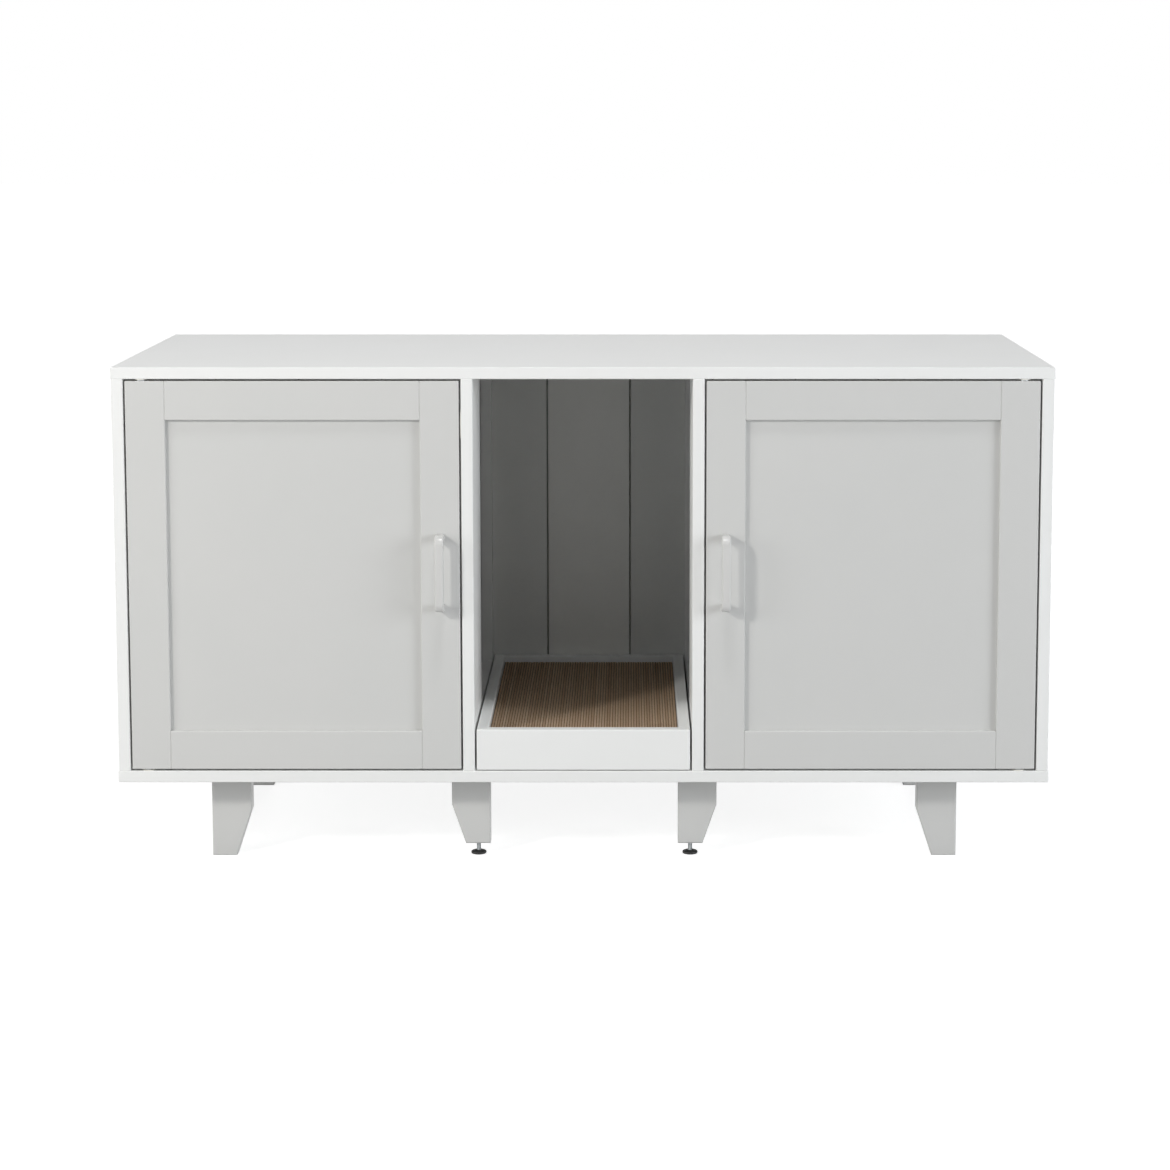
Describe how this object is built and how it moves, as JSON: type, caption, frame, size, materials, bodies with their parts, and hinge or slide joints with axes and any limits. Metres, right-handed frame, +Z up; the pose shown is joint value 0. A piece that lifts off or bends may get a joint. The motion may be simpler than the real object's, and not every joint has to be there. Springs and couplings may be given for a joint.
{
  "type": "cat litter box cabinet",
  "caption": "Low white cabinet on tapered legs: two framed pivot doors beside an open cubby with a pull-out tray that holds a cardboard scratching pad, and cat openings through both partitions.",
  "frame": {"origin": "centre of the footprint on the floor plane, at the middle of the width and of the depth over the handles", "axes": "+X to the right as seen from the front, +Y to the back, +Z up; the doors and the cubby face -Y"},
  "size_m": [1.2, 0.528, 0.65],
  "materials": {
    "white_board": "white melamine-faced board, satin",
    "back_board": "white lacquered thin board with V grooves, satin",
    "grey_paint": "pale grey painted board, satin",
    "door_paint": "pale grey painted board, satin",
    "handle_coat": "satin powder coat",
    "zinc": "zinc-plated steel",
    "white_plastic": "moulded, matt",
    "black_plastic": "moulded, matt",
    "hardboard": "bare hardboard",
    "corrugated_card": "corrugated cardboard on edge"
  },
  "bodies": {
    "carcass": {"top_panel": "white_board", "bottom_panel": "white_board", "side_panel_left": "white_board", "side_panel_right": "white_board", "partition_left": "white_board", "partition_right": "white_board", "back_panel": "back_board", "leg_front_left": "grey_paint", "leg_screw_front_left": "zinc", "leg_front_right": "grey_paint", "leg_screw_front_right": "zinc", "leg_rear_left": "grey_paint", "leg_screw_rear_left": "zinc", "leg_rear_right": "grey_paint", "leg_screw_rear_right": "zinc", "leg_centre_left": "grey_paint", "leg_screw_centre_left": "zinc", "leg_centre_right": "grey_paint", "leg_screw_centre_right": "zinc", "leveller_insert_left": "zinc", "pivot_bush_left_lower": "white_plastic", "pivot_bush_left_upper": "white_plastic", "catch_left": "white_plastic", "leveller_insert_right": "zinc", "pivot_bush_right_lower": "white_plastic", "pivot_bush_right_upper": "white_plastic", "catch_right": "white_plastic"},
    "door_left": {"door_panel_left": "door_paint", "door_rail_lower_left": "door_paint", "door_rail_upper_left": "door_paint", "door_stile_outer_left": "door_paint", "door_stile_inner_left": "door_paint", "handle_left": "handle_coat", "handle_screw_left_lower": "zinc", "handle_screw_left_upper": "zinc", "pivot_pin_left_lower": "zinc", "pivot_pin_left_upper": "zinc", "strike_plate_left": "zinc"},
    "door_right": {"door_panel_right": "door_paint", "door_rail_lower_right": "door_paint", "door_rail_upper_right": "door_paint", "door_stile_outer_right": "door_paint", "door_stile_inner_right": "door_paint", "handle_right": "handle_coat", "handle_screw_right_lower": "zinc", "handle_screw_right_upper": "zinc", "pivot_pin_right_lower": "zinc", "pivot_pin_right_upper": "zinc", "strike_plate_right": "zinc"},
    "tray": {"tray_front": "white_board", "tray_back": "white_board", "tray_side_left": "white_board", "tray_side_right": "white_board", "tray_base": "hardboard"},
    "pad": {"scratch_pad": "corrugated_card"},
    "leveller_left": {"leveller_foot_left": "black_plastic", "leveller_stud_left": "zinc"},
    "leveller_right": {"leveller_foot_right": "black_plastic", "leveller_stud_right": "zinc"}
  },
  "joints": [
    {"name": "door_left_swing", "type": "hinge", "parent": "carcass", "child": "door_left", "pos_m": [-0.5615, -0.228, 0.381], "axis": [0, 0, -1], "range_deg": [0, 120]},
    {"name": "door_right_swing", "type": "hinge", "parent": "carcass", "child": "door_right", "pos_m": [0.5615, -0.228, 0.381], "axis": [0, 0, 1], "range_deg": [0, 120]},
    {"name": "tray_slide", "type": "slide", "parent": "carcass", "child": "tray", "axis": [0, -1, 0], "range_m": [0, 0.32]},
    {"name": "pad_lift", "type": "slide", "parent": "tray", "child": "pad", "axis": [0, 0, 1], "range_m": [0, 0.06]},
    {"name": "leveller_left_turn", "type": "slide", "parent": "carcass", "child": "leveller_left", "axis": [0, 0, -1], "range_m": [-0.006, 0.006]},
    {"name": "leveller_right_turn", "type": "slide", "parent": "carcass", "child": "leveller_right", "axis": [0, 0, -1], "range_m": [-0.006, 0.006]}
  ]
}
